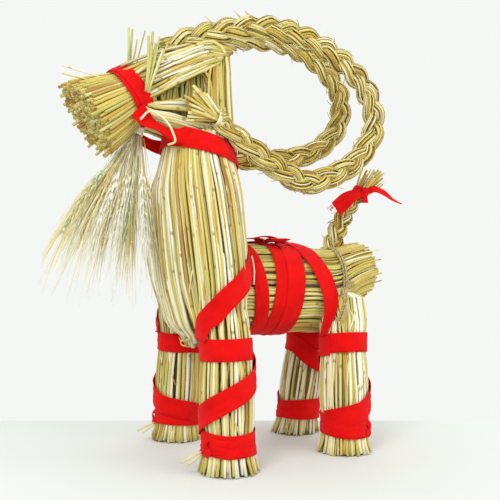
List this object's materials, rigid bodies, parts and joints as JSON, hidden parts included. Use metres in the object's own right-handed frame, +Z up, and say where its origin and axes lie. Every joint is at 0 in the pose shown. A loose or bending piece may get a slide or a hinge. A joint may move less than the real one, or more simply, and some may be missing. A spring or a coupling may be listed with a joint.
{
  "type": "straw goat ornament",
  "caption": "Standing Yule goat of bundled straw tied with red ribbon, with long braided horns curled over its back, a beard of bearded rye ears and a short braided tail.",
  "frame": {"origin": "on the surface the goat stands on, under the middle of its bounding box", "axes": "+Z up, the goat looks along -Y, +X is the goat's left side"},
  "size_m": [0.259, 0.4688, 0.5641],
  "materials": {
    "straw": "dry split straw stalks, satin sheen along the stalk",
    "braided_straw": "flattened straw, satin",
    "pale_straw": "pale green-cream straw, satin",
    "rye_ears": "dry pale ears with fine awns, matt",
    "ribbon": "plain woven red ribbon, slightly frayed",
    "twine": "natural twisted fibre, matt"
  },
  "bodies": {
    "root": {"head_neck_and_forelegs": "straw", "body_and_hind_legs": "straw", "horn_left": "braided_straw", "horn_right": "braided_straw", "tail": "braided_straw", "beard": "rye_ears", "forelock": "pale_straw", "foreleg_ribbon_left": "ribbon", "foreleg_ribbon_right": "ribbon", "hind_leg_ribbon_left": "ribbon", "hind_leg_ribbon_right": "ribbon", "body_ribbon": "ribbon", "halter_ribbon": "ribbon", "tail_ribbon": "ribbon", "rump_string": "twine", "chin_cord": "twine"}
  },
  "joints": []
}
